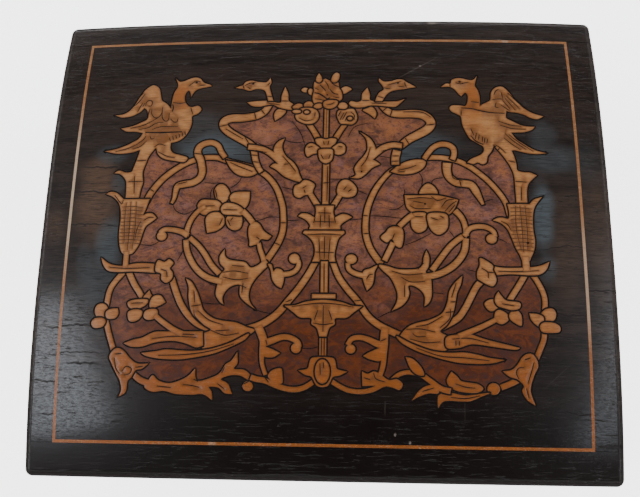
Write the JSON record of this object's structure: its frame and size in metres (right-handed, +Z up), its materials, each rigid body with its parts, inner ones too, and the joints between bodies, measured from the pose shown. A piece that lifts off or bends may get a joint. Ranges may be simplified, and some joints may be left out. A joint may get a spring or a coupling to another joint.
{
  "type": "inlaid trinket box",
  "caption": "Rectangular wooden trinket box with a cushion-topped lift-off lid, inlaid with birds, serpents, scrolling vines and flowers inside a light line.",
  "frame": {"origin": "the middle of the underside, which is the middle of the whole box's footprint", "axes": "+X to the box's right along its longest side, +Y to its back, +Z up"},
  "size_m": [0.25, 0.211, 0.11],
  "materials": {
    "dark_veneer": "old glossy varnish over near-black wood, with fine crackle and worn edges",
    "fruitwood": "golden fruitwood with fine grain and dark engraved lines, varnished",
    "burl": "red-brown burl, varnished",
    "carcass": "plain brown board, dull"
  },
  "bodies": {
    "root": {"case_bottom": "carcass", "case_front": "dark_veneer", "case_back": "dark_veneer", "case_left": "dark_veneer", "case_right": "dark_veneer", "lid": "dark_veneer", "field_veneer": "dark_veneer", "border_front": "dark_veneer", "border_back": "dark_veneer", "border_left": "dark_veneer", "border_right": "dark_veneer", "stringing_front": "fruitwood", "stringing_back": "fruitwood", "stringing_left": "fruitwood", "stringing_right": "fruitwood", "burl_ground": "burl", "inlay_candelabrum": "fruitwood", "inlay_rose": "fruitwood", "inlay_stem_left": "fruitwood", "inlay_stem_right": "fruitwood", "inlay_bird_left": "fruitwood", "inlay_bird_right": "fruitwood", "inlay_flower_left": "fruitwood", "inlay_flower_right": "fruitwood", "inlay_inner_flower_left": "fruitwood", "inlay_inner_flower_right": "fruitwood", "inlay_outer_flower_left": "fruitwood", "inlay_outer_flower_right": "fruitwood", "inlay_scroll_left": "fruitwood", "inlay_scroll_right": "fruitwood", "inlay_serpent_left": "fruitwood", "inlay_serpent_right": "fruitwood", "inlay_lower_scroll_left": "fruitwood", "inlay_lower_scroll_right": "fruitwood", "inlay_border_vine_left": "fruitwood", "inlay_border_vine_right": "fruitwood"}
  },
  "joints": []
}
